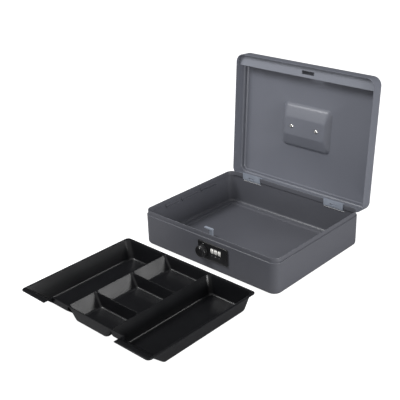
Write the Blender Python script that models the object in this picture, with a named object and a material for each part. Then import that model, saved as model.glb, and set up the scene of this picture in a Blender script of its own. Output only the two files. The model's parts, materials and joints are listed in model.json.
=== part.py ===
"""Combination cash box, lid open, with its coin tray standing in front of it.

Axes: +X to the right seen from the lock side, +Y towards the hinges, +Z up.
The origin is the centre of the body's base on the table. Sizes are millimetres and
MM turns them into metres. The lid group is drawn shut and turned open by its pivot.
"""
import bpy
import bmesh
from math import cos, sin, pi, radians, hypot

MM = 0.001
GAP = 0.3                       # clearance between pieces that touch

# body: deep-drawn steel with a bead-like shoulder and an inset rim
WIDTH, DEPTH = 300.0, 242.5
CORNER_R = 16.0
SHEET = 1.0
BASE_STEP = 2.0                 # how far the pressed base panel stands below the walls
BASE_BEND = 6.0
SHOULDER_Z, RIM_Z = 60.0, 68.0
RIM_INSET = 1.9

# lid: skirt that sits on the shoulder, panel pressed outwards
LID_EDGE_Z = SHOULDER_Z + 0.4
LID_TOP_Z = 87.0
LID_PANEL_Z = 89.5
LID_BEND = 5.0
LID_OPEN = 93.8                 # degrees
HINGE_Y, HINGE_Z = DEPTH / 2 + 0.65, 56.0

# hinges
HINGE_X = (-95.0, 95.0)
PIN_R, KNUCKLE_R, KNUCKLE_BORE = 1.2, 2.6, 1.5
LEAF_HALF, KNUCKLE_HALF = 20.7, 8.5

# recess for the carry handle, pressed into the lid panel
RECESS_X, RECESS_Y = 1.5, -1.0
RECESS_MOUTH = (105.0, 81.0, 9.0)
RECESS_STEP = (98.0, 74.0, 7.0)
RECESS_FLOOR = (84.0, 31.0, 3.0)
RECESS_STEP_DEPTH, RECESS_DEPTH = 4.0, 11.0
POST_SPACING = 55.0
BAIL_R = 2.4
BAIL_REACH = 28.0
BAIL_Z = LID_PANEL_Z - 3.6

# lock on the front wall
FRONT_Y = -DEPTH / 2
PLATE = (-15.5, 50.5, 21.6, 53.1)       # escutcheon: x from, x to, z from, z to
PLATE_FACE = FRONT_Y - 2.5
KNOB_X, KNOB_Z, KNOB_R = -4.0, 35.9, 11.4
WHEEL_X = (16.6, 24.5, 32.4)
WHEEL_Y, WHEEL_Z, WHEEL_R, WHEEL_HALF = FRONT_Y + 6.35, 40.9, 9.0, 3.1
CASE = (-19.0, 53.0, 19.0, 56.0)        # lock case: x from, x to, z from, z to
CASE_FRONT, CASE_BACK = FRONT_Y + SHEET + 0.35, FRONT_Y + 21.35
CASE_WALL = 1.5
AXLE_R = 1.5
CAM_R, CAM_PIN_R = 8.0, 1.5
LATCH_Y, LATCH_T = FRONT_Y + 13.75, 2.0
HOOK_X = (-12.5, 5.5)
STEM_X = (-1.5, 5.5)
HOOK_Z = 70.3

# rail with the hook's slot, inside the lid's front skirt from corner to corner
RAIL_INSET = SHEET + GAP
RAIL_LEG_X = 124.0
RAIL_Z, RAIL_LEG_TOP = RIM_Z + 0.6, 80.0
RAIL_BACK = -99.0
RAIL_SLOT = (-3.5, 22.5, -111.0, -104.5)

# brackets that the tray hangs on
REST_Y = ((-66.0, -34.0), (-25.0, 19.0), (28.0, 70.0))
REST_Z, REST_H, REST_DEPTH = 53.0, 5.6, 5.0

# coin tray, one thin moulding with drafted pockets
TRAY_X, TRAY_BACK = 5.5, -170.5
TRAY_H = 35.0
TRAY_HALF, TRAY_LEN = 145.0, 230.0
TRAY_T = 1.6
FLANGE_ROUND = 7.0
NOTCH = (-85.5, 74.5, -212.5)           # cut-out for the lock: x from, x to, front line
SIDE_RUN, SIDE_LEAN, SCOOP_RUN = 11.6, 6.0, 36.0
MIDDLE_RUN, CROSS_LEAN, MIDDLE_FLOOR = 14.9, 1.5, 13.6
SIDE_ROUND, MIDDLE_ROUND, SCOOP_ROUND = 10.0, 4.0, 1.5

# name, x range, y range at the top, floor height, wall run (left, right, front, rear),
# corner radius (right rear, left rear, left front, right front); from the tray's rear middle
POCKETS = (
    ("left", (-141.0, -50.5), (-222.0, -5.0), TRAY_T, (SIDE_RUN, SIDE_LEAN, SCOOP_RUN, 2.0),
     (8.0, SIDE_ROUND, SCOOP_ROUND, SCOOP_ROUND)),
    ("back", (-49.0, 49.0), (-80.0, -5.0), MIDDLE_FLOOR,
     (MIDDLE_RUN, MIDDLE_RUN, CROSS_LEAN, CROSS_LEAN), (MIDDLE_ROUND,) * 4),
    ("middle", (-49.0, 49.0), (-156.5, -81.5), MIDDLE_FLOOR,
     (MIDDLE_RUN, MIDDLE_RUN, CROSS_LEAN, CROSS_LEAN), (MIDDLE_ROUND,) * 4),
    ("front", (-49.0, 49.0), (-210.9, -158.0), MIDDLE_FLOOR,
     (MIDDLE_RUN, MIDDLE_RUN, CROSS_LEAN, CROSS_LEAN), (MIDDLE_ROUND,) * 4),
    ("right", (50.5, 141.0), (-222.0, -5.0), TRAY_T, (SIDE_LEAN, SIDE_RUN, SCOOP_RUN, 2.0),
     (SIDE_ROUND, 8.0, SCOOP_ROUND, SCOOP_ROUND)),
)


def remove_all():
    for item in list(bpy.data.objects):
        bpy.data.objects.remove(item, do_unlink=True)


def material(name, colour, roughness, metallic):
    mat = bpy.data.materials.get(name) or bpy.data.materials.new(name)
    mat.use_nodes = True
    shader = mat.node_tree.nodes["Principled BSDF"]
    shader.inputs["Base Color"].default_value = (*colour, 1.0)
    shader.inputs["Roughness"].default_value = roughness
    shader.inputs["Metallic"].default_value = metallic
    return mat


def finish(name, verts, faces, mat, smooth=True):
    """Make an object in metres from millimetre points and outward-facing polygons."""
    mesh = bpy.data.meshes.new(name)
    mesh.from_pydata([(x * MM, y * MM, z * MM) for x, y, z in verts], [], faces)
    bm = bmesh.new()
    bm.from_mesh(mesh)
    bmesh.ops.recalc_face_normals(bm, faces=bm.faces)
    bm.to_mesh(mesh)
    bm.free()
    if smooth:
        mesh.shade_smooth()
        mesh.set_sharp_from_angle(angle=radians(35))
    obj = bpy.data.objects.new(name, mesh)
    bpy.context.scene.collection.objects.link(obj)
    if mat:
        obj.data.materials.append(mat)
    return obj


def loft(name, rings, mat, smooth=True):
    """Skin rings of equal length in order and cap the first and the last."""
    count = len(rings[0])
    verts = [point for ring in rings for point in ring]
    faces = [tuple(range(count)), tuple(range((len(rings) - 1) * count, len(rings) * count))]
    for level in range(len(rings) - 1):
        for i in range(count):
            a, b = level * count + i, level * count + (i + 1) % count
            faces.append((a, b, b + count, a + count))
    return finish(name, verts, faces, mat, smooth)


def box(name, x, y, z, mat=None):
    rings = [[(x[0], y[0], h), (x[1], y[0], h), (x[1], y[1], h), (x[0], y[1], h)] for h in z]
    return loft(name, rings, mat, smooth=False)


def rounded(width, depth, radius, z, centre=(0.0, 0.0), steps=5):
    """Rounded rectangle at height z, anticlockwise from its right rear corner.

    The radius is one number, or four from the right rear corner on.
    """
    points = []
    corners = radius if isinstance(radius, tuple) else (radius,) * 4
    for quarter, r in enumerate(corners):
        sx, sy = ((1, 1), (-1, 1), (-1, -1), (1, -1))[quarter]
        cx = centre[0] + sx * (width / 2 - r)
        cy = centre[1] + sy * (depth / 2 - r)
        for i in range(steps + 1):
            turn = (quarter + i / steps) * pi / 2
            points.append((cx + r * cos(turn), cy + r * sin(turn), z))
    return points


def shell_ring(inset, z):
    return rounded(WIDTH - 2 * inset, DEPTH - 2 * inset, max(CORNER_R - inset, 0.8), z)


def bend(inset, z, radius, start, stop, steps=4):
    """Profile points (inset, z) on an arc about (inset, z)."""
    turns = [radians(start + (stop - start) * i / steps) for i in range(steps + 1)]
    return [(inset + radius * cos(t), z + radius * sin(t)) for t in turns]


def turned(name, profile, axis_point, axis, mat, steps=32):
    """Lathe a closed (radius, along) profile that starts and ends on the axis."""
    x0, y0, z0 = axis_point
    rings = []
    for r, h in profile:
        ring = []
        for i in range(steps):
            u, v = r * cos(2 * pi * i / steps), r * sin(2 * pi * i / steps)
            ring.append((x0 + h, y0 + u, z0 + v) if axis == "x" else
                        (x0 + u, y0 + h, z0 + v) if axis == "y" else (x0 + u, y0 + v, z0 + h))
        rings.append(ring)
    return loft(name, rings, mat)


def rod(name, radius, start, stop, centre, axis, mat=None, steps=24):
    """Cylinder from start to stop along an axis, about the centre's other two values."""
    return turned(name, [(radius, start), (radius, stop)], centre, axis, mat, steps)


def boolean(target, tool, operation):
    """Cut, join or intersect with a helper that the build leaves out."""
    tool.hide_render = True
    tool.display_type = "WIRE"
    step = target.modifiers.new(operation.lower(), "BOOLEAN")
    step.operation = operation
    step.solver = "EXACT"
    step.object = tool
    return target


def cut(target, *tools):
    for tool in tools:
        boolean(target, tool, "DIFFERENCE")
    return target


def join(target, *tools):
    for tool in tools:
        boolean(target, tool, "UNION")
    return target


def extruded(name, outline, y, mat=None):
    """Prism of an (x, z) outline between two y values."""
    return loft(name, [[(px, level, pz) for px, pz in outline] for level in y], mat, smooth=False)


def prism_x(name, outline, x, mat=None):
    """Prism of a (y, z) outline between two x values."""
    return loft(name, [[(level, py, pz) for py, pz in outline] for level in x], mat, smooth=False)


# ---------------------------------------------------------------- body
def make_body(mat):
    wall_out = bend(BASE_BEND, BASE_STEP + BASE_BEND, BASE_BEND, 270, 180)
    wall_in = bend(BASE_BEND, BASE_STEP + BASE_BEND, BASE_BEND - SHEET, 180, 270)
    profile = [(13.0, 0.0), (11.0, BASE_STEP)] + wall_out
    profile += [(0.0, SHOULDER_Z - 0.8), (0.3, SHOULDER_Z - 0.2), (1.0, SHOULDER_Z)]
    profile += [(RIM_INSET, SHOULDER_Z), (RIM_INSET, RIM_Z - 0.3), (RIM_INSET + 0.3, RIM_Z)]
    profile += [(RIM_INSET + 0.7, RIM_Z), (RIM_INSET + SHEET, RIM_Z - 0.3)]
    profile += [(RIM_INSET + SHEET, SHOULDER_Z - SHEET), (SHEET, SHOULDER_Z - SHEET)] + wall_in
    profile += [(11.4, BASE_STEP + SHEET), (13.4, SHEET)]
    body = loft("body_shell", [shell_ring(s, z) for s, z in profile], mat)
    cut(body, box("cut_lock", (PLATE[0] + 4.5, PLATE[1] - 3.5), (FRONT_Y - 2, FRONT_Y + 3),
                  (PLATE[2] + 5.4, PLATE[3] - 1.6)))
    rear = DEPTH / 2
    for side, x in zip(("left", "right"), HINGE_X):
        cut(body,
            box("cut_strap_" + side, (x - 9.5, x + 9.5), (rear - 5, rear + 2), (53.1, RIM_Z + 3)),
            box("cut_knuckle_" + side, (x - LEAF_HALF - 1.3, x + LEAF_HALF + 1.3),
                (rear - 1.8, rear + 2), (53.1, SHOULDER_Z - SHEET - 0.05)))
    return body


def make_tray_rests(mat):
    wall = WIDTH / 2 - SHEET - GAP
    for side, sign in (("left", -1), ("right", 1)):
        for place, span in zip(("front", "middle", "rear"), REST_Y):
            outline = [(wall, REST_Z), (wall, REST_Z + REST_H), (wall - SHEET, REST_Z + REST_H),
                       (wall - SHEET, REST_Z + SHEET), (wall - REST_DEPTH, REST_Z + SHEET),
                       (wall - REST_DEPTH, REST_Z)]
            extruded(f"tray_rest_{side}_{place}", [(sign * px, pz) for px, pz in outline], span, mat)


# ---------------------------------------------------------------- hinges
def knuckle(name, x, mat=None):
    return rod(name, KNUCKLE_R, x[0], x[1], (0, HINGE_Y, HINGE_Z), "x", mat)


def pin_bore(name, x):
    return rod(name, KNUCKLE_BORE, x[0] - 1, x[1] + 1, (0, HINGE_Y, HINGE_Z), "x")


def make_body_leaf(side, x, mat):
    """Plate inside the rear wall whose lower edge bends back to two outer knuckles."""
    face = DEPTH / 2 - RIM_INSET - SHEET - GAP
    top = HINGE_Z + KNUCKLE_R
    ends = ((x - LEAF_HALF, x - KNUCKLE_HALF - 0.4), (x + KNUCKLE_HALF + 0.4, x + LEAF_HALF))
    leaf = box("hinge_body_leaf_" + side, (x - LEAF_HALF, x + LEAF_HALF), (face - 1, face),
               (top - 1, RIM_Z + 2.5), mat)
    for tag, span in zip("ab", ends):
        join(leaf, box(f"arm_{tag}_{side}", span, (face - 0.5, HINGE_Y), (top - 1, top)),
             knuckle(f"barrel_{tag}_{side}", span))
        cut(leaf, pin_bore(f"bore_{tag}_{side}", span))
    cut(leaf, box("leaf_slot_" + side, (x - 7.5, x + 7.5), (face - 3, face + 2), (61.2, 63.8)))
    lip = box("leaf_lip_" + side, (x - 7.5, x + 7.5), (face - 2.0, face - 0.5), (60.4, 61.2))
    join(leaf, lip)


def make_lid_leaf(side, x, mat):
    """Strap inside the lid's rear skirt that runs down to the middle knuckle."""
    face = DEPTH / 2 - SHEET - GAP
    span = (x - KNUCKLE_HALF, x + KNUCKLE_HALF)
    leaf = box("hinge_lid_leaf_" + side, span, (face - 1, face), (HINGE_Z, 76.0), mat)
    join(leaf, knuckle("lid_barrel_" + side, span))
    cut(leaf, pin_bore("lid_bore_" + side, span))
    return leaf


def make_pin(side, x, mat):
    rod("hinge_pin_" + side, PIN_R, x - LEAF_HALF - 0.8, x + LEAF_HALF + 0.8,
        (0, HINGE_Y, HINGE_Z), "x", mat)


# ---------------------------------------------------------------- lock
def make_escutcheon(mat):
    x0, x1, z0, z1 = PLATE
    back = FRONT_Y - GAP
    mid = ((x0 + x1) / 2, (z0 + z1) / 2)
    sizes = ((x1 - x0, z1 - z0, back), (x1 - x0, z1 - z0, PLATE_FACE + 0.6),
             (x1 - x0 - 1.2, z1 - z0 - 1.2, PLATE_FACE))
    rings = [[(px, y, pz) for px, pz, _ in rounded(w, h, 2.5, 0, mid, 3)] for w, h, y in sizes]
    plate = loft("lock_escutcheon", rings, mat)
    join(plate, box("plate_boss", (x0 + 4.8, x1 - 3.8), (back - 0.5, FRONT_Y + SHEET),
                    (z0 + 5.7, z1 - 1.9)))
    cut(plate, rod("plate_spindle_hole", 3.4, PLATE_FACE - 3, FRONT_Y + 4, (KNOB_X, 0, KNOB_Z), "y"),
        box("boss_window", (WHEEL_X[0] - 4, WHEEL_X[2] + 4), (back - 0.4, FRONT_Y + 4),
            (WHEEL_Z - 8.9, WHEEL_Z + 8.9)))
    for i, x in enumerate(WHEEL_X):
        rings = []
        for y, half in ((PLATE_FACE - 0.2, 4.9), (back + 0.5, 6.9)):
            rings.append([(x - 3.45, y, WHEEL_Z - half), (x + 3.45, y, WHEEL_Z - half),
                          (x + 3.45, y, WHEEL_Z + half), (x - 3.45, y, WHEEL_Z + half)])
        cut(plate, loft(f"wheel_window_{i + 1}", rings, None, smooth=False))
    return plate


def make_lock_case(mat):
    x0, x1, z0, z1 = CASE
    w = CASE_WALL
    case = box("lock_case", (x0, x1), (CASE_FRONT, CASE_BACK), (z0, z1), mat)
    cut(case, box("case_hollow", (x0 + w, x1 - w), (CASE_FRONT + w, CASE_BACK + 2),
                  (z0 + w, z1 - w)))
    for i, (sx, sz) in enumerate(screw_places()):
        join(case, rod(f"case_post_{i}", 3.2, CASE_FRONT + 0.5, CASE_BACK, (sx, 0, sz), "y"))
        cut(case, rod(f"case_thread_{i}", 1.8, CASE_BACK - 12, CASE_BACK + 1, (sx, 0, sz), "y"))
    for tag, rib in (("left", WHEEL_X[0] - 4.9), ("right", WHEEL_X[2] + 3.7)):
        join(case, box("case_rib_" + tag, (rib, rib + 1.2), (CASE_FRONT + 0.5, WHEEL_Y + 5),
                       (WHEEL_Z - 5, WHEEL_Z + 5)))
    cut(case,
        rod("case_spindle_hole", 3.3, CASE_FRONT - 1, CASE_FRONT + 3, (KNOB_X, 0, KNOB_Z), "y"),
        box("case_window", (WHEEL_X[0] - 3.6, WHEEL_X[2] + 3.6), (CASE_FRONT - 1, CASE_FRONT + 1.6),
            (WHEEL_Z - 8.9, WHEEL_Z + 8.9)),
        rod("case_axle_hole", AXLE_R + GAP, WHEEL_X[0] - 6, WHEEL_X[2] + 6,
            (0, WHEEL_Y, WHEEL_Z), "x"),
        box("case_top_slot", (STEM_X[0] - 1.2, STEM_X[1] + 12.6), (LATCH_Y - 2, LATCH_Y + 2),
            (z1 - 3, z1 + 2)))
    return case


def screw_places():
    x0, x1, z0, z1 = CASE
    return ((x0 + 4.7, z0 + 4.7), (x1 - 4.7, z0 + 4.7), (x1 - 4.7, z1 - 4.7))


def make_lock_cover(mat, screw_mat):
    x0, x1, z0, z1 = CASE
    near = CASE_BACK + GAP
    cover = box("lock_cover", (x0, x1), (near, near + CASE_WALL), (z0, z1), mat)
    for i, (sx, sz) in enumerate(screw_places()):
        cut(cover, rod(f"cover_hole_{i}", 1.8, near - 1, near + 3, (sx, 0, sz), "y"))
        head = near + CASE_WALL + GAP
        turned(f"lock_screw_{i + 1}", [(1.5, near - 10), (1.5, head), (2.9, head), (2.9, head + 0.9),
                                       (2.3, head + 1.4)], (sx, 0, sz), "y", screw_mat, 20)


def make_wheels(mat):
    """Number wheels with a bore and ten shallow finger grooves."""
    for i, x in enumerate(WHEEL_X):
        edge = WHEEL_R - 0.4
        wheel = turned(f"number_wheel_{i + 1}",
                       [(edge, -WHEEL_HALF), (WHEEL_R, 0.4 - WHEEL_HALF), (WHEEL_R, WHEEL_HALF - 0.4),
                        (edge, WHEEL_HALF)], (0, 0, 0), "x", mat, 40)
        wheel.location = (x * MM, WHEEL_Y * MM, WHEEL_Z * MM)
        bore = rod(f"wheel_bore_{i + 1}", AXLE_R + GAP, x - 5, x + 5, (0, WHEEL_Y, WHEEL_Z), "x")
        cut(wheel, bore)


def make_axle_and_springs(steel, spring_steel):
    rod("wheel_axle", AXLE_R, WHEEL_X[0] - 4.8, WHEEL_X[2] + 4.8, (0, WHEEL_Y, WHEEL_Z), "x", steel)
    leaf_y = WHEEL_Y + WHEEL_R + 0.6
    spring = box("wheel_detent_spring", (WHEEL_X[0] - 3, WHEEL_X[2] + 3), (leaf_y, leaf_y + 0.6),
                 (29.0, 48.5), spring_steel)
    join(spring, box("detent_foot", (WHEEL_X[0] - 3, WHEEL_X[2] + 3), (leaf_y + 0.3, CASE_BACK),
                     (29.0, 29.6)))
    for i in range(2):
        x = (WHEEL_X[i] + WHEEL_X[i + 1]) / 2
        cut(spring, box(f"detent_gap_{i}", (x - 0.9, x + 0.9), (leaf_y - 1, leaf_y + 2), (33, 50)))
    coil("knob_return_spring", (KNOB_X, KNOB_Z), 4.5, 0.4, (CASE_FRONT + 2.3, CASE_FRONT + 7.2), 4,
         spring_steel)


def coil(name, centre, radius, wire, y, turns, mat, sides=6, per_turn=14):
    """Helical wire about a line along Y."""
    rings = []
    total = turns * per_turn
    for i in range(total + 1):
        turn = 2 * pi * i / per_turn
        level = y[0] + (y[1] - y[0]) * i / total
        ring = []
        for k in range(sides):
            r = radius + wire * cos(2 * pi * k / sides)
            rise = wire * sin(2 * pi * k / sides)
            ring.append((centre[0] + r * cos(turn), level + rise, centre[1] + r * sin(turn)))
        rings.append(ring)
    return loft(name, rings, mat)


def make_knob(mat, steel):
    """Turn knob on the front and the spindle behind it, whose cam pin moves the hook."""
    front = PLATE_FACE - 8.5
    profile = [(KNOB_R - 0.3, PLATE_FACE - GAP), (KNOB_R, PLATE_FACE - 1), (KNOB_R - 0.5, front + 1.2),
               (KNOB_R - 1.6, front)]
    knob = turned("turn_knob", profile, (0, 0, 0), "y", mat, 40)
    knob.location = (KNOB_X * MM, 0, KNOB_Z * MM)
    cut(knob, rod("knob_socket", 3.2, PLATE_FACE - 5.6, PLATE_FACE + 2, (KNOB_X, 0, KNOB_Z), "y"))
    arm_y = (LATCH_Y - LATCH_T / 2 - 3.0, LATCH_Y - LATCH_T / 2 - 1.0)
    spindle = rod("knob_spindle", 2.9, PLATE_FACE - 5.2, arm_y[1], (0, 0, 0), "y", steel)
    spindle.location = (KNOB_X * MM, 0, KNOB_Z * MM)
    tip = (KNOB_X - CAM_R * sin(pi / 4), KNOB_Z + CAM_R * cos(pi / 4))
    outline = []
    for (cx, cz), r, first in (((KNOB_X, KNOB_Z), 4.0, 225), (tip, 3.0, 45)):
        for i in range(9):
            turn = radians(first + i * 180 / 8)
            outline.append((cx + r * cos(turn), cz + r * sin(turn)))
    join(spindle, extruded("cam_arm", outline, arm_y),
         rod("cam_pin", CAM_PIN_R, arm_y[0] + 0.5, LATCH_Y + LATCH_T, (tip[0], 0, tip[1]), "y",
             steps=16))
    return tip


def make_latch(tip, mat):
    """Sliding plate: slotted lower part, bar above the wheels, stem and hooked head."""
    y = (LATCH_Y - LATCH_T / 2, LATCH_Y + LATCH_T / 2)
    low_x = (-15.5, -1.2)
    outline = [(low_x[0], 37.0), (low_x[1], 37.0), (low_x[1], 50.6), (STEM_X[1], 50.6),
               (STEM_X[1], HOOK_Z + 1.5), (STEM_X[0], HOOK_Z + 1.5), (STEM_X[0], 54.0),
               (low_x[0], 54.0)]
    latch = extruded("latch_hook", outline, y, mat)
    join(latch, box("hook_head", HOOK_X, (LATCH_Y - 2.3, LATCH_Y + 2.3), (HOOK_Z, HOOK_Z + 2)))
    cut(latch, box("cam_slot", (tip[0] - 2.1, tip[0] + 2.1), (y[0] - 1, y[1] + 1), (39.2, 46.4)))
    return latch


# ---------------------------------------------------------------- lid
def lid_profile():
    outer = [(0.0, LID_EDGE_Z), *bend(LID_BEND, LID_TOP_Z - LID_BEND, LID_BEND, 180, 90)]
    outer += [(6.5, LID_TOP_Z), (8.8, LID_PANEL_Z)]
    inner = [(9.2, LID_PANEL_Z - SHEET), (6.9, LID_TOP_Z - SHEET)]
    inner += bend(LID_BEND, LID_TOP_Z - LID_BEND, LID_BEND - SHEET, 90, 180)
    return outer, inner + [(SHEET, LID_EDGE_Z)]


def recess_rings(grow, lift):
    centre = (RECESS_X, RECESS_Y)
    rings = []
    for (w, d, r), depth in ((RECESS_MOUTH, -1.0), (RECESS_MOUTH, 0.0),
                             (RECESS_STEP, RECESS_STEP_DEPTH), (RECESS_FLOOR, RECESS_DEPTH)):
        z = LID_PANEL_Z - depth - (lift if depth > 0 else 0)
        rings.append(rounded(w + 2 * grow, d + 2 * grow, r + grow, z, centre))
    return rings


def make_lid(mat):
    """Pressed lid: skirt, top bend, raised panel and the sunk handle recess."""
    outer, inner = lid_profile()
    rings = [shell_ring(s, z) for s, z in reversed(outer)] + [shell_ring(s, z) for s, z in inner[::-1]]
    lid = loft("lid_shell", rings, mat)
    pocket = recess_rings(1.0, SHEET)
    pocket[0] = [(x, y, LID_PANEL_Z - 0.3) for x, y, _ in pocket[0]]
    pocket[1] = [(x, y, LID_PANEL_Z - 0.9) for x, y, _ in pocket[1]]
    join(lid, loft("recess_outside", pocket, None))
    cut(lid, loft("recess_hollow", recess_rings(0.0, 0.0), None))
    for tag, x in post_places():
        cut(lid, rod("post_hole_" + tag, 2.1, LID_PANEL_Z - 16, LID_PANEL_Z - 5,
                     (x, RECESS_Y, 0), "z", steps=20))
    return lid


def make_rail(mat):
    """Flange that follows the skirt's front and its two corners, with an upright leg."""
    rings = [rounded(WIDTH - 2 * RAIL_INSET, DEPTH - 2 * RAIL_INSET, CORNER_R - RAIL_INSET, z)
             for z in (RAIL_Z, RAIL_Z + SHEET)]
    rail = loft("lid_latch_rail", rings, mat)
    front = FRONT_Y + RAIL_INSET
    cut(rail, box("rail_behind", (-WIDTH, WIDTH), (RAIL_BACK, DEPTH), (RAIL_Z - 2, RAIL_Z + 3)))
    join(rail, box("rail_leg", (-RAIL_LEG_X, RAIL_LEG_X), (front, front + SHEET),
                   (RAIL_Z + SHEET / 2, RAIL_LEG_TOP)))
    x0, x1, y0, y1 = RAIL_SLOT
    return cut(rail, box("rail_slot", (x0, x1), (y0, y1), (RAIL_Z - 2, RAIL_Z + 3)))


def post_places():
    return (("left", RECESS_X - POST_SPACING / 2), ("right", RECESS_X + POST_SPACING / 2))


def make_handle(mat, post_mat):
    """Folding bail on two eye posts that are riveted through the recess floor."""
    floor = LID_PANEL_Z - RECESS_DEPTH
    pieces = []
    for tag, x in post_places():
        post = turned("handle_post_" + tag,
                      [(1.8, floor - 2.0), (1.8, floor + GAP), (4.2, floor + GAP), (4.2, floor + 1.5),
                       (3.6, floor + 2.0), (3.6, BAIL_Z + 3.6)], (x, RECESS_Y, 0), "z", post_mat, 28)
        cut(post, rod("post_eye_" + tag, BAIL_R - 0.6 + GAP, x - 6, x + 6,
                      (0, RECESS_Y, BAIL_Z), "x"))
        rivet = turned("handle_rivet_" + tag,
                       [(4.0, floor - SHEET - GAP), (4.0, floor - SHEET - 0.9),
                        (2.6, floor - SHEET - 1.9)], (x, RECESS_Y, 0), "z", post_mat, 28)
        cut(rivet, rod("rivet_bore_" + tag, 2.1, floor - SHEET - 1.4, floor + 2, (x, RECESS_Y, 0), "z",
                       steps=20))
        pieces += [post, rivet]
    pieces.append(make_bail(mat))
    return pieces


def make_bail(mat):
    """Round bar bent to a U with inward pivot ends, drawn about its pivot line."""
    half = POST_SPACING / 2 + 9.0
    inner = POST_SPACING / 2 - 3.2
    reach, corner = BAIL_REACH, 8.0
    path = [(-inner, 0.0), (-(half - 3.0), 0.0)]
    path += [(-(half - 3) - 3 * sin(t), 3 - 3 * cos(t)) for t in (pi / 6, pi / 3, pi / 2)]
    path += [(-(half - corner) - corner * cos(t), reach - corner + corner * sin(t))
             for t in (i * pi / 10 for i in range(6))]
    path += [(-x, y) for x, y in reversed(path)]
    rings = []
    for i, (x, y) in enumerate(path):
        (ax, ay), (bx, by) = path[max(i - 1, 0)], path[min(i + 1, len(path) - 1)]
        length = hypot(bx - ax, by - ay)
        nx, ny = -(by - ay) / length, (bx - ax) / length
        grip = BAIL_R if 1 < i < len(path) - 2 else BAIL_R - 0.6
        rings.append([(x + nx * grip * cos(a), y + ny * grip * cos(a), grip * sin(a))
                      for a in (2 * pi * k / 12 for k in range(12))])
    bail = loft("carry_handle", rings, mat)
    bail.location = (RECESS_X * MM, RECESS_Y * MM, BAIL_Z * MM)
    return bail


def open_lid(pieces):
    """Hang the shut lid group on a pivot at the hinge line and turn the pivot open."""
    pivot = bpy.data.objects.new("lid_pivot", None)
    bpy.context.scene.collection.objects.link(pivot)
    pivot.location = (0, HINGE_Y * MM, HINGE_Z * MM)
    helpers = []
    for piece in pieces:
        helpers += [step.object for step in piece.modifiers if step.type == "BOOLEAN"]
    for item in pieces + helpers:
        item.parent = pivot
        item.location = (item.location[0], item.location[1] - HINGE_Y * MM,
                         item.location[2] - HINGE_Z * MM)
    pivot.rotation_euler = (-radians(LID_OPEN), 0, 0)


# ---------------------------------------------------------------- tray
def pocket_rings(pocket, grow, top):
    """A pocket's rings from its floor to top; its walls lean in evenly with the depth."""
    _, x, y, floor, runs, corners = pocket
    rings = []
    for level in (floor - grow, TRAY_H, top):
        depth = (TRAY_H - min(level, TRAY_H)) / (TRAY_H - floor)
        left, right, front, rear = (run * depth for run in runs)
        x0, x1 = x[0] + left - grow, x[1] - right + grow
        y0, y1 = y[0] + front - grow, y[1] - rear + grow
        centre = (TRAY_X + (x0 + x1) / 2, TRAY_BACK + (y0 + y1) / 2)
        radii = tuple(r + grow for r in corners)
        rings.append(rounded(x1 - x0, y1 - y0, radii, level, centre, 4))
    return rings


def make_tray(mat):
    """One moulding: flange, five pockets and the cut-out that clears the lock."""
    half, long = TRAY_HALF, TRAY_LEN
    centre = (TRAY_X, TRAY_BACK - long / 2)
    tray = loft("coin_tray", [rounded(2 * half, long, FLANGE_ROUND, z, centre)
                              for z in (TRAY_H - TRAY_T, TRAY_H)], mat)
    for pocket in POCKETS:
        rings = pocket_rings(pocket, TRAY_T, TRAY_H)
        rings[1:] = [[(px, py, TRAY_H - 0.4) for px, py, _ in rings[1]]]
        join(tray, loft("pocket_out_" + pocket[0], rings, None))
    left, right = TRAY_X + NOTCH[0], TRAY_X + NOTCH[1]
    rear, front = TRAY_BACK + NOTCH[2], TRAY_BACK - long
    cut(tray, box("tray_notch", (left, right), (front - 5, rear), (-5, TRAY_H + 5)))
    keep = box("notch_keep", (left - TRAY_T, right + TRAY_T), (front - 9, rear + TRAY_T),
               (-9, TRAY_H + 9))
    for pocket in POCKETS:
        inner = loft("pocket_in_" + pocket[0], pocket_rings(pocket, 0.0, TRAY_H + 3), None)
        cut(inner, keep)
        cut(tray, inner)
    return tray


def main():
    remove_all()
    paint = material("anthracite_powder_coat", (0.135, 0.14, 0.15), 0.55, 0.2)
    zinc = material("zinc_plate", (0.55, 0.58, 0.64), 0.35, 0.9)
    black = material("black_plastic", (0.012, 0.012, 0.013), 0.35, 0.0)
    ivory = material("white_plastic", (0.82, 0.81, 0.78), 0.4, 0.0)
    spring = material("spring_steel", (0.4, 0.4, 0.42), 0.3, 1.0)
    chrome = material("nickel_plate", (0.7, 0.7, 0.7), 0.15, 1.0)
    make_body(paint)
    make_tray_rests(paint)
    lid_group = [make_lid(paint), make_rail(paint)]
    for side, x in zip(("left", "right"), HINGE_X):
        make_body_leaf(side, x, zinc)
        make_pin(side, x, spring)
        lid_group.append(make_lid_leaf(side, x, zinc))
    make_escutcheon(black)
    make_lock_case(zinc)
    make_lock_cover(zinc, chrome)
    make_wheels(ivory)
    make_axle_and_springs(zinc, spring)
    tip = make_knob(black, zinc)
    make_latch(tip, zinc)
    lid_group += make_handle(chrome, zinc)
    open_lid(lid_group)
    make_tray(black)


main()
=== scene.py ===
"""Combination cash box, lid open, coin tray in front: fine surfaces and finishes."""
import json
import bmesh
import bpy
import numpy as np
from math import cos, pi, radians, sin
from mathutils import Matrix, Vector


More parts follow.
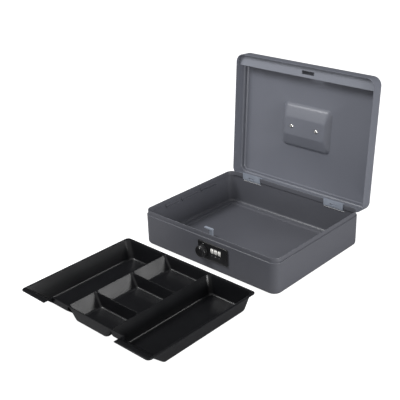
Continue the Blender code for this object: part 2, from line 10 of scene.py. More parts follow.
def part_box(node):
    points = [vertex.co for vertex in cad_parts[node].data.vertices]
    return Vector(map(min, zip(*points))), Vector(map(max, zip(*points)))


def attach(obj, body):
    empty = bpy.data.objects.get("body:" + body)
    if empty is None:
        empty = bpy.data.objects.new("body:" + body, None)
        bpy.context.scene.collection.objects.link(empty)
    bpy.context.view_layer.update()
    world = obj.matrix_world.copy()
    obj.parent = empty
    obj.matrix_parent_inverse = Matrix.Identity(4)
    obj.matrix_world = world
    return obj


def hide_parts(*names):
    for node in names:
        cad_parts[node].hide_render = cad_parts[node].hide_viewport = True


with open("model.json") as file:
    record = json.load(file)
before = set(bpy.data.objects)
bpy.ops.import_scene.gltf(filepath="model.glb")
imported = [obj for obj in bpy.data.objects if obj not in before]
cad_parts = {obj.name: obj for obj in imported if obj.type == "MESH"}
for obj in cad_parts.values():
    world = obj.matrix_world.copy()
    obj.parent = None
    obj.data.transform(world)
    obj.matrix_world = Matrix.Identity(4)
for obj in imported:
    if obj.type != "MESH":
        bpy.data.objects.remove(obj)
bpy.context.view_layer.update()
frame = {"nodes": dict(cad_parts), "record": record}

MM = 0.001                       # lengths below are in millimetres

# body and lid
SHEET, CORNER = 1.0, 16.0        # sheet thickness and the outer corner's radius
BASE_STEP, BASE_BEND = 2.0, 6.0  # the base stands this far proud; bend between base and wall
SHOULDER, RIM, RIM_INSET = 60.0, 68.0, 1.9
LID_EDGE, LID_TOP, LID_PANEL = 60.4, 87.0, 89.5      # heights on the shut box
RECESS = (1.5, -1.0)             # centre of the handle recess
RECESS_DEPTH = 11.0
LID_BEND = 5.0                   # outer radius between the lid's skirt and its top
BAIL_R, BAIL_REACH = 2.4, 28.0   # the handle's bar and how far its grip stands from its pivots

WHEELS = (1, 2, 3)
SHARP = radians(32)              # edges sharper than this stay crisp
WELD = 0.002                     # points closer than this become one after a cut


def near(node):
    """Lowest and highest corner of a CAD node in millimetres."""
    low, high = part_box(node)
    return np.array(low) / MM, np.array(high) / MM


def joint(name):
    """Record of one joint."""
    return next(j for j in frame["record"]["behaviour"]["joints"] if j["name"] == name)


HINGE = np.array(joint("lid_hinge")["pos_m"]) / MM
LID_OPEN = radians(joint("lid_hinge")["range_deg"][1])
BODY_LOW, BODY_HIGH = near("body_shell")
WIDTH, DEPTH = (BODY_HIGH - BODY_LOW)[:2]
FRONT = BODY_LOW[1]


# ---------------------------------------------------------------- surfaces
def swung(points):
    """Points drawn on the shut lid, turned back about the hinge line to where the lid stands."""
    y, z = points[..., 1] - HINGE[1], points[..., 2] - HINGE[2]
    out = np.array(points, float)
    out[..., 1] = HINGE[1] + y * cos(LID_OPEN) + z * sin(LID_OPEN)
    out[..., 2] = HINGE[2] - y * sin(LID_OPEN) + z * cos(LID_OPEN)
    return out


def outline(width, depth, radius, centre=(0.0, 0.0), bend=10, run=5):
    """Rounded rectangle: a quarter turn at each corner, evenly spaced points on each side.

    It goes anticlockwise from the right rear corner. The radius is one number or four.
    """
    radii = np.broadcast_to(radius, 4)
    turn = np.linspace(0, pi / 2, bend + 1)
    arcs = []
    for quarter, (sx, sy) in enumerate(((1, 1), (-1, 1), (-1, -1), (1, -1))):
        r = radii[quarter]
        angle = turn + quarter * pi / 2
        arcs.append(np.column_stack((centre[0] + sx * (width / 2 - r) + r * np.cos(angle),
                                     centre[1] + sy * (depth / 2 - r) + r * np.sin(angle))))
    share = (np.arange(run) + 1)[:, None] / (run + 1)
    parts = []
    for arc, following in zip(arcs, arcs[1:] + arcs[:1]):
        parts += [arc, arc[-1] + (following[0] - arc[-1]) * share]
    return np.vstack(parts)


def level(path, z):
    """Flat path lifted to one height."""
    return np.column_stack((path, np.full(len(path), float(z))))


def wall(profile):
    """Stack of rounded rectangles, one for each (inset, height) of the profile."""
    return np.array([level(outline(WIDTH - 2 * s, DEPTH - 2 * s, max(CORNER - s, 0.8)), z)
                     for s, z in profile])


def arc(inset, z, radius, start, stop, steps=8):
    """(inset, height) points on a bend about (inset, z)."""
    turn = np.radians(np.linspace(start, stop, steps + 1))
    return list(zip(inset + radius * np.cos(turn), z + radius * np.sin(turn)))


def piece(name, verts, faces, finish, smooth=True):
    """One object at the origin from millimetre points."""
    mesh = bpy.data.meshes.new(name)
    mesh.from_pydata(np.asarray(verts) * MM, [], faces)
    mesh.materials.append(finish)
    if smooth:
        mesh.shade_smooth()
        mesh.set_sharp_from_angle(angle=SHARP)
    thing = bpy.data.objects.new(name, mesh)
    bpy.context.scene.collection.objects.link(thing)
    return thing


def skin(name, rings, finish):
    """Surface over a (ring, point) grid; the first and last rings are closed flat."""
    rings = np.asarray(rings, float)
    count, width = rings.shape[:2]
    start = np.arange(count - 1)[:, None] * width
    here = np.arange(width)[None, :]
    after = (here + 1) % width
    quads = np.stack((start + here, start + after, start + width + after, start + width + here), -1)
    faces = quads.reshape(-1, 4).tolist()
    faces.append(list(range(width))[::-1])
    faces.append(list(range((count - 1) * width, count * width)))
    return piece(name, rings.reshape(-1, 3), faces, finish)


def turned(name, profile, centre, axis, finish, steps=64, ripple=None):
    """Profile of (radius, along) spun about an axis; ripple scales the radius with the angle."""
    angle = np.linspace(0, 2 * pi, steps, endpoint=False)
    radius, along = np.array(profile, float).T
    grow = np.ones((len(radius), steps)) if ripple is None else ripple(along[:, None], angle[None, :])
    r = radius[:, None] * grow
    u, v, h = r * np.cos(angle), r * np.sin(angle), np.broadcast_to(along[:, None], r.shape)
    order = {"x": (h, u, v), "y": (v, h, u), "z": (u, v, h)}[axis]
    return skin(name, np.stack(order, -1) + np.array(centre, float), finish)


def swept(name, path, radius, normal, finish, sides=20):
    """Round bar whose circles stand square to a flat path with the given plane normal."""
    ahead = np.gradient(path, axis=0)
    ahead /= np.linalg.norm(ahead, axis=1)[:, None]
    side = np.cross(ahead, normal)
    angle = np.linspace(0, 2 * pi, sides, endpoint=False)[None, :, None]
    r = np.broadcast_to(radius, len(path))[:, None, None]
    circles = path[:, None] - r * (np.cos(angle) * side[:, None] - np.sin(angle) * np.array(normal))
    return skin(name, circles, finish)


def block(name, low, high, finish=None):
    """Box with square corners between two points: a cutter, or a piece if it has a finish."""
    rings = [level(outline(high[0] - low[0], high[1] - low[1], 0.01,
                           ((low[0] + high[0]) / 2, (low[1] + high[1]) / 2), 1, 0), z)
             for z in (low[2], high[2])]
    return skin(name, rings, finish)


def carve(thing, steps):
    """Work (operation, tool) pairs into a piece one after the other and drop the tools."""
    for operation, tool in steps:
        change = thing.modifiers.new(operation, "BOOLEAN")
        change.operation = operation
        change.object = tool
        change.solver = "EXACT"
    bpy.context.view_layer.update()
    shape = thing.evaluated_get(bpy.context.evaluated_depsgraph_get())
    mesh = bpy.data.meshes.new_from_object(shape)
    thing.modifiers.clear()
    thing.data = mesh
    welded = bmesh.new()
    welded.from_mesh(mesh)
    bmesh.ops.remove_doubles(welded, verts=welded.verts, dist=WELD * MM)
    welded.to_mesh(mesh)
    welded.free()
    mesh.shade_smooth()
    mesh.set_sharp_from_angle(angle=SHARP)
    for _, tool in steps:
        bpy.data.objects.remove(tool)


def belongs(thing, body, slot, *nodes):
    """Give a piece its body and hide the CAD nodes it stands for; the slot is not used."""
    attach(thing, body)
    if nodes:
        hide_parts(*nodes)


def swing(thing):
    """Turn a piece drawn on the shut lid back to the open one, in its mesh."""
    points = np.array([v.co for v in thing.data.vertices]) / MM
    thing.data.vertices.foreach_set("co", (swung(points) * MM).ravel())


# ---------------------------------------------------------------- finishes
class Wire:
    """A shader socket that can stand in a sum."""

    def __init__(self, paint, socket):
        self.paint, self.socket = paint, socket

    def sum(self, operation, *values):
        return self.paint.node("ShaderNodeMath", {"operation": operation}, dict(enumerate(values)))

    def __add__(self, other):
        return self.sum("ADD", self, other)

    def __mul__(self, other):
        return self.sum("MULTIPLY", self, other)

    __radd__, __rmul__ = __add__, __mul__


class Graph:
    """A node tree that new nodes and wires are added to."""

    def __init__(self, tree):
        self.tree = tree

    def node(self, kind, settings=None, sockets=None, out=0):
        """Add a node: its settings first, then the values or wires of its sockets."""
        item = self.tree.nodes.new(kind)
        for key, value in (settings or {}).items():
            setattr(item, key, value)
        for key, value in (sockets or {}).items():
            if isinstance(value, Wire):
                self.tree.links.new(value.socket, item.inputs[key])
            else:
                item.inputs[key].default_value = value
        return Wire(self, item.outputs[out])


class Finish(Graph):
    """One procedural material and the wires that feed it."""

    def __init__(self, name, **fixed):
        self.material = bpy.data.materials.new(name)
        self.material.use_nodes = True
        super().__init__(self.material.node_tree)
        self.shader = self.tree.nodes["Principled BSDF"]
        for socket, value in fixed.items():
            self.shader.inputs[socket.replace("_", " ")].default_value = value

    def place(self):
        """Object coordinates, in metres."""
        return self.node("ShaderNodeTexCoord", out="Object")

    def noise(self, scale, detail=3.0, rough=0.5, where=None):
        """Fractal noise from 0 to 1, scale cells to the metre."""
        return self.node("ShaderNodeTexNoise", None,
                         {"Vector": where or self.place(), "Scale": scale, "Detail": detail,
                          "Roughness": rough})

    def between(self, share, first, second):
        """Colour between two colours."""
        return self.node("ShaderNodeMix", {"data_type": "RGBA"},
                         {0: share, 6: (*first, 1.0), 7: (*second, 1.0)}, out=2)

    def feed(self, socket, wire):
        """Lead a wire to one of the surface's own sockets."""
        self.tree.links.new(wire.socket, self.shader.inputs[socket])

    def bump(self, height, distance):
        """Relief as deep as the distance where the height goes from 0 to 1."""
        self.feed("Normal", self.node("ShaderNodeBump", None, {
            "Height": height, "Distance": distance, "Strength": 1.0}))


def powder_coat(name, dark, light, grain):
    """Fine orange-peel powder coat: close speckle in the bump, faint drift in the grey."""
    paint = Finish(name, Metallic=0.0)
    peel = paint.noise(1300, 2.0, 0.6)       # dimples under 1 mm
    drift = paint.noise(9, 2.0)              # patches about 110 mm across
    speck = paint.noise(2600, 1.0)           # specks under 0.5 mm
    paint.feed("Base Color", paint.between(drift * 0.55 + speck * 0.45, dark, light))
    paint.feed("Roughness", 0.30 + 0.10 * drift + 0.08 * speck)
    paint.bump(peel, grain * MM)
    return paint.material


def plated(name, dark, light, rough, brushed, metal=1.0):
    """Plated steel: cloudy tint a few millimetres across, roughness streaks drawn out along x."""
    paint = Finish(name, Metallic=metal)
    stretched = paint.node("ShaderNodeMapping", None,
                           {"Vector": paint.place(), "Scale": (brushed, 1.0, 1.0)})
    cloud = paint.noise(140, 4.0)
    streak = paint.noise(900, 2.0, 0.6, stretched)
    paint.feed("Base Color", paint.between(cloud, dark, light))
    paint.feed("Roughness", rough + 0.16 * streak)
    paint.bump(streak, 0.01 * MM)
    return paint.material


def moulded(name, dark, light, rough, grain, scale, shine=0.5):
    """Moulded plastic: eroded texture under 1 mm, patches of sheen from handling."""
    paint = Finish(name, Metallic=0.0, Specular_IOR_Level=shine)
    texture = paint.noise(scale, 2.0)
    rubbed = paint.noise(22, 3.0, 0.6)       # patches about 45 mm across
    paint.feed("Base Color", paint.between(rubbed, dark, light))
    paint.feed("Roughness", rough + 0.12 * rubbed)
    paint.bump(texture, grain * MM)
    return paint.material


COAT = powder_coat("anthracite_coat", (0.068, 0.070, 0.082), (0.100, 0.103, 0.119), 0.035)
# Latch rail: the body's anthracite coat made much lighter, painted light standing in for the light on
# its flange
RAIL_COAT_PAINTED_LIGHT = powder_coat("anthracite_coat_rail_painted_light", (0.185, 0.195, 0.226), (0.245, 0.257, 0.292), 0.03)
# Lid: the body's anthracite coat made lighter, painted light standing in for the light falling on the
# lid's inner face
LID_COAT_PAINTED_LIGHT = powder_coat("anthracite_coat_lid_painted_light", (0.108, 0.114, 0.135), (0.158, 0.166, 0.196), 0.035)
ZINC = plated("zinc_plating", (0.27, 0.30, 0.36), (0.40, 0.44, 0.51), 0.34, 0.3, 0.35)
NICKEL = plated("nickel_plating", (0.66, 0.65, 0.62), (0.82, 0.81, 0.79), 0.10, 0.3)
SPRING = plated("spring_steel_bright", (0.34, 0.34, 0.36), (0.46, 0.46, 0.48), 0.24, 0.2)
PLATE = moulded("lock_plate_black", (0.008, 0.008, 0.009), (0.014, 0.014, 0.015), 0.22, 0.004, 1800)
TRAY = moulded("tray_black", (0.004, 0.0042, 0.005), (0.007, 0.0073, 0.0085), 0.26, 0.008, 1500, 0.33)
IVORY = moulded("wheel_ivory", (0.80, 0.79, 0.75), (0.88, 0.87, 0.84), 0.30, 0.004, 1500)
INK = moulded("digit_ink", (0.010, 0.010, 0.011), (0.02, 0.02, 0.02), 0.45, 0.002, 1500)
MARK = moulded("mark_white", (0.70, 0.70, 0.70), (0.80, 0.80, 0.80), 0.45, 0.002, 1500)


# ---------------------------------------------------------------- body and lid
def make_body():
    """Drawn shell: base step, bottom bend, wall, shoulder bead and inset rim, inside and out.

    The profile runs from the underside out and up to the rim, then back down inside to the floor.
    """
    bead = 0.9
    profile = [(14.6, 0.0), (13.6, 0.0), (12.9, 0.1), (12.4, 0.5), (11.5, 1.6), (10.8, BASE_STEP)]
    profile += arc(BASE_BEND, BASE_STEP + BASE_BEND, BASE_BEND, 270, 180)
    profile += [(0.0, 20.0), (0.0, 40.0), (0.0, SHOULDER - 1.0)]
    profile += arc(bead, SHOULDER - bead, bead, 180, 90, 4)
    profile += [(RIM_INSET, SHOULDER), (RIM_INSET, SHOULDER + 0.4), (RIM_INSET, RIM - 0.5)]
    profile += arc(RIM_INSET + SHEET / 2, RIM - SHEET / 2, SHEET / 2, 180, 0, 6)
    profile += [(RIM_INSET + SHEET, SHOULDER - 0.4), (RIM_INSET + SHEET - 0.4, SHOULDER - SHEET),
                (SHEET + 0.3, SHOULDER - SHEET), (SHEET, SHOULDER - SHEET - 0.4), (SHEET, 40.0),
                (SHEET, 20.0)]
    profile += arc(BASE_BEND, BASE_STEP + BASE_BEND, BASE_BEND - SHEET, 180, 270)
    profile += [(8.8, BASE_STEP + SHEET), (10.0, 2.85), (11.3, 2.4), (12.6, 1.6), (13.8, 1.15),
                (14.8, SHEET), (15.4, SHEET)]
    body = skin("body_skin", wall(profile), COAT)
    plate_low, plate_high = near("lock_escutcheon")
    lap_left, lap_right, lap_below, lap_above = 4.5, 3.5, 5.4, 1.6
    cutters = [block("lock_hole",
                     (plate_low[0] + lap_left, FRONT - 2, plate_low[2] + lap_below),
                     (plate_high[0] - lap_right, FRONT + 3, plate_high[2] - lap_above))]
    strap_room, knuckle_room, gap_low = 1.0, 1.3, HINGE[2] - 2.9
    for side in ("left", "right"):
        leaf_low, leaf_high = near("hinge_body_leaf_" + side)
        strap_low, strap_high = near("hinge_lid_leaf_" + side)
        rear = BODY_HIGH[1]
        cutters.append(block("strap_gap_" + side, (strap_low[0] - strap_room, rear - 5, gap_low),
                             (strap_high[0] + strap_room, rear + 2, RIM + 3)))
        cutters.append(block("knuckle_gap_" + side, (leaf_low[0] - knuckle_room, rear - 1.8, gap_low),
                             (leaf_high[0] + knuckle_room, rear + 2, SHOULDER - SHEET - 0.05)))
    carve(body, [("DIFFERENCE", tool) for tool in cutters])
    belongs(body, "box", "anthracite_powder_coat", "body_shell")


def recess_profile():
    """(width, depth, corner, height) rings of the handle recess from its mouth to its floor."""
    floor = LID_PANEL - RECESS_DEPTH
    return [(107.0, 83.0, 10.0, LID_PANEL), (105.6, 81.6, 9.4, LID_PANEL - 0.15),
            (104.6, 80.6, 9.0, LID_PANEL - 0.7), (99.4, 75.4, 7.4, LID_PANEL - 3.4),
            (97.6, 72.6, 7.0, LID_PANEL - 4.4), (95.0, 67.0, 6.4, LID_PANEL - 5.6),
            (87.6, 37.0, 4.4, floor + 0.9), (85.4, 33.0, 3.8, floor + 0.25),
            (82.0, 30.0, 3.2, floor), (80.0, 28.0, 2.6, floor)]


def make_lid():
    """Pressed lid: skirt, bend, raised panel and recess, a sheet's thickness apart."""
    recess = recess_profile()
    under = [level(outline(w + 2 * SHEET, d + 2 * SHEET, r + SHEET, RECESS), z - SHEET)
             for w, d, r, z in recess[::-1]]
    inside = [(9.4, LID_PANEL - SHEET), (8.9, LID_PANEL - SHEET - 0.15), (7.1, LID_TOP - SHEET - 0.2),
              (6.4, LID_TOP - SHEET)]
    inside += arc(LID_BEND, LID_TOP - LID_BEND, LID_BEND - SHEET, 90, 180)
    inside += [(SHEET, LID_EDGE + 10), (SHEET, LID_EDGE + 0.2), (SHEET - 0.3, LID_EDGE)]
    outside = [(0.3, LID_EDGE), (0.0, LID_EDGE + 0.3), (0.0, LID_EDGE + 10)]
    outside += arc(LID_BEND, LID_TOP - LID_BEND, LID_BEND, 180, 90)
    outside += [(6.4, LID_TOP), (7.0, LID_TOP + 0.3), (8.4, LID_PANEL - 0.3), (9.2, LID_PANEL)]
    top = [level(outline(w, d, r, RECESS), z) for w, d, r, z in recess]
    rings = np.array(under + list(wall(inside)) + list(wall(outside)) + top)
    # the lid takes the lighter copy of the coat, which is painted light
    lid = skin("lid_skin", swung(rings), LID_COAT_PAINTED_LIGHT)
    belongs(lid, "lid", "anthracite_powder_coat", "lid_shell")


# ---------------------------------------------------------------- lock
def make_lock_plate():
    """Moulded plate with a rounded edge and three tapered wheel windows."""
    low, high = near("lock_escutcheon")
    width, height = high[0] - low[0], high[2] - low[2]
    mid = ((low[0] + high[0]) / 2, (low[2] + high[2]) / 2)
    back, face, corner = FRONT - 0.3, low[1], 2.5
    rings = []
    for inset, y in ((0.0, back), (0.0, face + 1.0), (0.15, face + 0.5), (0.5, face + 0.15),
                     (1.0, face), (2.2, face), (2.5, face + 0.25), (3.0, face + 0.3)):
        path = outline(width - 2 * inset, height - 2 * inset, max(corner - inset, 0.6), mid, 8, 2)
        rings.append(np.column_stack((path[:, 0], np.full(len(path), y), path[:, 1])))
    plate = skin("lock_plate", rings, PLATE)
    cutters = []
    window_width, spindle_hole = 6.9, 3.4
    for i in WHEELS:
        wheel_low, wheel_high = near(f"number_wheel_{i}")
        x = (wheel_low[0] + wheel_high[0]) / 2
        z = (wheel_low[2] + wheel_high[2]) / 2
        rings = []
        for y, half in ((face - 0.2, 5.3), (face + 0.7, 4.9), (back + 0.5, 6.9)):
            path = outline(window_width, 2 * half, 0.6, (x, z), 4, 1)
            rings.append(np.column_stack((path[:, 0], np.full(len(path), y), path[:, 1])))
        cutters.append(skin(f"window_{i}", rings[::-1], PLATE))
    centre = np.array(joint("knob_turn")["pos_m"]) / MM
    cutters.append(turned("spindle_hole", [(spindle_hole, back - 5), (spindle_hole, back + 5)],
                          (centre[0], 0, centre[2]), "y", PLATE, 32))
    carve(plate, [("DIFFERENCE", tool) for tool in cutters])
    belongs(plate, "box", "black_plastic", "lock_escutcheon")


def make_marks():
    """Printed index marks: one under each wheel and one above the knob."""
    low, _ = near("lock_escutcheon")
    face, wheel_mark_z, above_knob = low[1] + 0.3, 32.2, 12.9
    spots = []
    for i in WHEELS:
        wheel_low, wheel_high = near(f"number_wheel_{i}")
        spots.append(((wheel_low[0] + wheel_high[0]) / 2, wheel_mark_z, 0.55))
    centre = np.array(joint("knob_turn")["pos_m"]) / MM
    spots.append((centre[0] + 1.1, centre[2] + above_knob, 0.6))
    for i, (x, z, r) in enumerate(spots):
        dot = [(r, face + 0.05), (r, face - 0.05), (r * 0.7, face - 0.09)]
        mark = turned(f"index_mark_{i + 1}", dot, (x, 0, z), "y", MARK, 20)
        mark.data.flip_normals()
        belongs(mark, "box", "white_plastic")


def make_knob():
    """Turn knob: ribbed grip, rounded nose, dished face and a white pointer line."""
    centre = np.array(joint("knob_turn")["pos_m"]) / MM
    low, high = near("turn_knob")
    radius, base, nose = (high[0] - low[0]) / 2, high[1], low[1]
    count, deep = 24, 0.035          # grip ribs and their depth as a share of the radius

    def ribs(along, angle):
        """Raised cosine round the knob, faded out near its base and its nose."""
        grip = np.clip((along - nose - 1.4) / 0.8, 0, 1) * np.clip((base - 1.2 - along) / 0.6, 0, 1)
        return 1 - deep * grip * (0.5 + 0.5 * np.cos(count * angle)) ** 2

    profile = [(radius - 0.4, base), (radius, base - 0.5), (radius, base - 1.1), (radius, base - 1.9),
               (radius - 0.1, (base + nose) / 2), (radius - 0.3, nose + 2.0), (radius - 0.6, nose + 1.2),
               (radius - 1.1, nose + 0.5), (radius - 1.9, nose + 0.1), (radius - 2.7, nose),
               (radius - 3.4, nose + 0.15), (radius - 4.2, nose + 0.7), (radius - 5.6, nose + 0.9),
               (0.3, nose + 0.95)]
    knob = turned("knob_grip", profile, (centre[0], 0, centre[2]), "y", PLATE, 192, ribs)
    knob.data.flip_normals()
    belongs(knob, "knob", "black_plastic", "turn_knob")
    pointer = block("knob_pointer", (centre[0] - 0.35, nose - 0.02, centre[2] + 5.4),
                    (centre[0] + 0.35, nose + 0.8, centre[2] + radius - 2.2), MARK)
    belongs(pointer, "knob", "white_plastic")


def digit_meshes():
    """Closed 0 to 9 as arrays of points and faces, centred, one unit tall, from -1 to 1 thick."""
    shapes = []
    for digit in range(10):
        words = bpy.data.curves.new("digit", "FONT")
        words.body = str(digit)
        words.resolution_u = 3
        words.extrude = 0.05
        holder = bpy.data.objects.new("digit", words)
        bpy.context.scene.collection.objects.link(holder)
        bpy.context.view_layer.update()
        mesh = bpy.data.meshes.new_from_object(holder.evaluated_get(
            bpy.context.evaluated_depsgraph_get()))
        points = np.zeros(len(mesh.vertices) * 3)
        mesh.vertices.foreach_get("co", points)
        points = points.reshape(-1, 3)
        points[:, :2] -= (points.min(0) + points.max(0))[:2] / 2
        points[:, :2] /= np.ptp(points[:, 1])
        points[:, 2] = np.sign(points[:, 2])
        shapes.append((points, [list(face.vertices) for face in mesh.polygons]))
        bpy.data.objects.remove(holder)
    return shapes


def make_wheels():
    """Number wheels: ten lands between finger grooves, a digit wrapped round each land."""
    digits = digit_meshes()
    count, apart = len(digits), 3    # each wheel shows a digit 3 on from its neighbour
    digit_tall, proud, groove_deep, bore = 3.0, 0.02, 0.045, 1.9
    for i in WHEELS:
        low, high = near(f"number_wheel_{i}")
        centre = (low + high) / 2
        half, radius = (high[0] - low[0]) / 2, (high[2] - low[2]) / 2

        def grooves(along, angle):
            """Narrow dips, a tenth power of a raised cosine, ten to a turn."""
            near_groove = 0.5 - 0.5 * np.cos(count * angle)
            return 1 - groove_deep * near_groove ** 10 * (np.abs(along) < half - 0.05)

        profile = [(bore, -half), (radius - 0.5, -half), (radius - 0.15, 0.12 - half),
                   (radius, 0.5 - half), (radius, 0.0), (radius, half - 0.5),
                   (radius - 0.15, half - 0.12), (radius - 0.5, half), (bore, half)]
        wheel = turned(f"wheel_{i}_ring", profile, centre, "x", IVORY, 200, grooves)
        belongs(wheel, f"wheel_{i}", "white_plastic", f"number_wheel_{i}")
        verts, faces = [], []
        for k, (points, polygons) in enumerate(digits):
            turn = pi + 2 * pi * (k - i * apart) / count
            angle = turn - digit_tall * points[:, 1] / radius
            r = radius + proud * points[:, 2]
            spot = np.column_stack((centre[0] + digit_tall * points[:, 0], centre[1] + r * np.cos(angle),
                                    centre[2] + r * np.sin(angle)))
            before = sum(len(part) for part in verts)
            faces += [[v + before for v in face] for face in polygons]
            verts.append(spot)
        inked = piece(f"wheel_{i}_digits", np.vstack(verts), faces, INK)
        belongs(inked, f"wheel_{i}", "black_plastic")


# ---------------------------------------------------------------- handle
def make_handle():
    """Bail of round bar: straight grip, two bends and inward pivots; folded on the shut lid."""
    pivot_depth, neck = 3.6, 0.6     # pivots below the panel; the bar is thinner there
    half, inner, corner, eye = 36.5, 24.3, 8.0, 3.0
    pivot_shut = np.array((RECESS[0], RECESS[1], LID_PANEL - pivot_depth))
    turn = np.linspace(0, pi / 2, 9)
    left = np.vstack((
        [(-inner, 0.0)], [(-(half - eye), 0.0)],
        np.column_stack((-(half - eye) - eye * np.sin(turn[1:]), eye - eye * np.cos(turn[1:]))),
        np.column_stack((-(half - corner) - corner * np.cos(turn),
                         BAIL_REACH - corner + corner * np.sin(turn)))))
    flat = np.vstack((left, left[::-1] * (-1, 1)))
    path = np.column_stack((flat, np.zeros(len(flat)))) + pivot_shut
    thick = np.full(len(path), BAIL_R)
    thick[:2] = thick[-2:] = BAIL_R - neck
    bail = swept("handle_bail", path, thick, (0, 0, 1), NICKEL)
    swing(bail)
    belongs(bail, "handle", "nickel_plate", "carry_handle")
    for side in ("left", "right"):
        low, high = near("handle_rivet_" + side)
        x, floor = (low[0] + high[0]) / 2, LID_PANEL - RECESS_DEPTH - SHEET
        dome = [(0.1, floor - 1.95), (1.0, floor - 1.9), (2.0, floor - 1.75), (3.0, floor - 1.35),
                (3.7, floor - 0.8), (4.0, floor - 0.1), (2.0, floor - 0.05)]
        rivet = turned("rivet_dome_" + side, dome, (x, RECESS[1], 0), "z", NICKEL, 40)
        swing(rivet)
        belongs(rivet, "lid", "nickel_plate", "handle_rivet_" + side)


# ---------------------------------------------------------------- tray
TRAY_LOW, TRAY_HIGH = near("coin_tray")
TRAY_MID, TRAY_REAR = (TRAY_LOW[0] + TRAY_HIGH[0]) / 2, TRAY_HIGH[1]
TRAY_H, TRAY_T = TRAY_HIGH[2], 1.6
TRAY_CORNER, POCKET_SOFT = 7.0, 3.0
NOTCH = (-85.5, 74.5, -212.5)    # lock cut-out: left and right of the middle, front of the rear edge
# Name, x range from the middle, y range from the rear edge, floor height, how far the left, right,
# front and rear walls lean in over the depth, corner radii anticlockwise from the right rear one.
POCKETS = (
    ("left", (-141.0, -50.5), (-222.0, -5.0), 1.6, (11.6, 6.0, 36.0, 2.0), (8.0, 10.0, 1.5, 1.5)),
    ("back", (-49.0, 49.0), (-80.0, -5.0), 13.6, (14.9, 14.9, 1.5, 1.5), (4.0,) * 4),
    ("middle", (-49.0, 49.0), (-156.5, -81.5), 13.6, (14.9, 14.9, 1.5, 1.5), (4.0,) * 4),
    ("front", (-49.0, 49.0), (-210.9, -158.0), 13.6, (14.9, 14.9, 1.5, 1.5), (4.0,) * 4),
    ("right", (50.5, 141.0), (-222.0, -5.0), 1.6, (6.0, 11.6, 36.0, 2.0), (10.0, 8.0, 1.5, 1.5)),
)


def pocket(name, x, y, floor, runs, corners, grow, lip):
    """Drafted pocket: walls lean in evenly with depth and turn into the floor in an arc."""
    fillet = np.radians(np.linspace(90, 0, 7))
    soft = POCKET_SOFT + grow
    steps = [(floor - grow, soft + 0.8)]
    steps += [(floor - grow + soft - soft * sin(a), soft - soft * cos(a)) for a in fillet]
    steps += [(TRAY_H - 0.5, 0.0)] + lip
    rings = []
    for z, pull in steps:
        depth = (TRAY_H - min(z, TRAY_H)) / (TRAY_H - floor)
        left, right, front, rear = (run * depth + pull for run in runs)
        x0, x1 = x[0] + left - grow, x[1] - right + grow
        y0, y1 = y[0] + front - grow, y[1] - rear + grow
        middle = (TRAY_MID + (x0 + x1) / 2, TRAY_REAR + (y0 + y1) / 2)
        radii = np.maximum(np.array(corners) + grow - pull * 0.5, 0.4)
        rings.append(level(outline(x1 - x0, y1 - y0, radii, middle, 8, 3), z))
    return skin(name, rings, TRAY)


def make_tray():
    """One moulding: flange with a rounded edge, five pockets and the cut-out for the lock."""
    size, middle = TRAY_HIGH - TRAY_LOW, (TRAY_MID, (TRAY_LOW[1] + TRAY_HIGH[1]) / 2)
    edge = ((0.6, TRAY_H - TRAY_T), (0.15, TRAY_H - 1.4), (0.0, TRAY_H - 1.0), (0.0, TRAY_H - 0.6),
            (0.2, TRAY_H - 0.15), (0.6, TRAY_H))
    rings = [level(outline(size[0] - 2 * s, size[1] - 2 * s, TRAY_CORNER - s, middle, 8, 3), z)
             for s, z in edge]
    tray = skin("tray_moulding", rings, TRAY)
    steps = [("UNION", pocket("outside_" + name, x, y, floor, runs, corners, TRAY_T, []))
             for name, x, y, floor, runs, corners in POCKETS]
    left, right = TRAY_MID + NOTCH[0], TRAY_MID + NOTCH[1]
    rear, front = TRAY_REAR + NOTCH[2], TRAY_LOW[1]
    steps.append(("DIFFERENCE", block("notch", (left, front - 5, -5), (right, rear, TRAY_H + 5))))
    flare = [(TRAY_H - 0.15, -0.12), (TRAY_H, -0.4), (TRAY_H + 3, -0.4)]
    for name, x, y, floor, runs, corners in POCKETS:
        inner = pocket("inside_" + name, x, y, floor, runs, corners, 0.0, flare)
        if name in ("left", "right"):
            keep = block("keep_" + name, (left - TRAY_T, front - 9, -9),
                         (right + TRAY_T, rear + TRAY_T, TRAY_H + 9))
            carve(inner, [("DIFFERENCE", keep)])
        steps.append(("DIFFERENCE", inner))
    carve(tray, steps)
    belongs(tray, "tray", "black_tray_plastic", "coin_tray")


# ---------------------------------------------------------------- frame parts kept
def finish_frame():
    """Give every CAD node that stays in view its finish."""
    finishes = {"anthracite_powder_coat": COAT, "zinc_plate": ZINC, "nickel_plate": NICKEL,
                "spring_steel": SPRING, "black_plastic": PLATE, "black_tray_plastic": TRAY,
                "white_plastic": IVORY}
    # the latch rail takes the lighter copy of the coat (painted light); the lock case and cover take the
    # body's coat
    own = {"lock_case": COAT, "lock_cover": COAT, "lid_latch_rail": RAIL_COAT_PAINTED_LIGHT}
    for part in frame["record"]["subparts"]:
        node = frame["nodes"][part["node"]]
        if not node.material_slots:
            node.data.materials.append(None)
        for place in node.material_slots:
            place.material = own.get(part["node"], finishes[part["material_slot"]])


# ---------------------------------------------------------------- studio
EYE = (0.80873, -0.98623, 0.67034)
YAW, PITCH, ROLL = radians(43.39), radians(24.53), radians(-1.88)
LENS, SENSOR = 71.30, 36
FLOOR_GREY = (0.35, 0.35, 0.36)
FLOOR_DROP, FLOOR_REACH = 0.3, 60000
ROOM_FRONT = (0.35, -0.9, 0.1)   # towards the bright end of the room
ROOM_DIM, ROOM_BRIGHT = 0.04, 0.7
LAMPS = (                        # name, place, target, size in metres, watts
    ("key", (-0.45, -0.58, 1.02), (-0.05, 0.14, 0.22), (0.4, 0.4), 11.5),
    ("overhead", (0.2, 0.1, 1.8), (0, 0, 0), (0.9, 0.5), 3),
    ("right_rear", (1.25, 0.8, 1.15), (0, -0.1, 0.05), (0.5, 0.5), 9),
    ("right_low", (1.9, -0.25, 0.3), (0.15, 0, 0.04), (0.6, 0.3), 20),
)


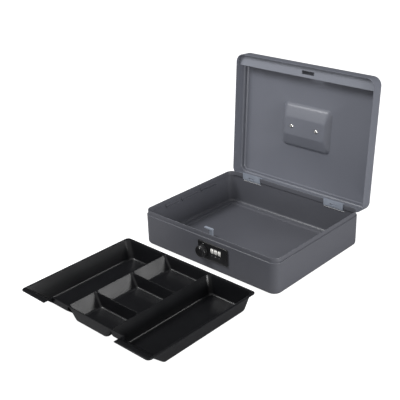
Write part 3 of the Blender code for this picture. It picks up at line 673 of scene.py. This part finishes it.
def make_camera():
    """Eye above the right front corner, looking down across the tray to the open lid."""
    forward = Vector((-sin(YAW) * cos(PITCH), cos(YAW) * cos(PITCH), -sin(PITCH)))
    right = forward.cross(Vector((0, 0, 1))).normalized()
    up = right.cross(forward)
    right, up = cos(ROLL) * right + sin(ROLL) * up, -sin(ROLL) * right + cos(ROLL) * up
    lens = bpy.data.cameras.new("camera")
    lens.lens, lens.sensor_width = LENS, SENSOR
    eye = bpy.data.objects.new("camera", lens)
    turn = Matrix((right, up, -forward)).transposed().to_4x4()
    eye.matrix_world = Matrix.Translation(EYE) @ turn
    bpy.context.scene.collection.objects.link(eye)
    bpy.context.scene.camera = eye


def make_floor():
    """Pale floor, brighter to the eye than as a lamp."""
    paint = Finish("studio_floor", Roughness=0.9, Emission_Strength=1.0)
    paint.shader.inputs["Base Color"].default_value = (*FLOOR_GREY, 1)
    seen = paint.node("ShaderNodeLightPath", out="Is Camera Ray")
    paint.feed("Emission Color", paint.between(seen, (0, 0, 0), (1, 1, 1)))
    corners = [(x * FLOOR_REACH, y * FLOOR_REACH, -FLOOR_DROP)
               for x, y in ((-1, -1), (1, -1), (1, 1), (-1, 1))]
    ground = piece("floor", corners, [(0, 1, 2, 3)], paint.material, smooth=False)


def lamp(name, place, target, size, power):
    """Soft box at a place, turned towards its target."""
    light = bpy.data.lights.new(name, "AREA")
    light.shape, light.size, light.size_y, light.energy = "RECTANGLE", size[0], size[1], power
    holder = bpy.data.objects.new(name, light)
    aim = Vector(target) - Vector(place)
    holder.matrix_world = Matrix.Translation(place) @ aim.to_track_quat("-Z", "Y").to_matrix().to_4x4()
    bpy.context.scene.collection.objects.link(holder)


def make_lights():
    """Room that is bright towards the front and dim behind, and four soft boxes."""
    world = bpy.data.worlds.new("studio")
    world.use_nodes = True
    bpy.context.scene.world = world
    room = Graph(world.node_tree)
    towards = room.node("ShaderNodeTexCoord", out="Generated")
    facing = room.node("ShaderNodeVectorMath", {"operation": "DOT_PRODUCT"},
                       {0: towards, 1: ROOM_FRONT}, out="Value")
    share = room.node("ShaderNodeMapRange", {"interpolation_type": "SMOOTHSTEP"},
                      {"Value": facing, "From Min": -0.6, "From Max": 0.9})
    back = world.node_tree.nodes["Background"]
    back.inputs["Color"].default_value = (1.0, 1.0, 1.0, 1)
    world.node_tree.links.new((share * (ROOM_BRIGHT - ROOM_DIM) + ROOM_DIM).socket,
                              back.inputs["Strength"])
    for row in LAMPS:
        lamp(*row)
    bpy.context.scene.view_settings.view_transform = "Standard"


make_body()
make_lid()
make_lock_plate()
make_marks()
make_knob()
make_wheels()
make_handle()
make_tray()
finish_frame()
make_floor()
make_lights()
make_camera()
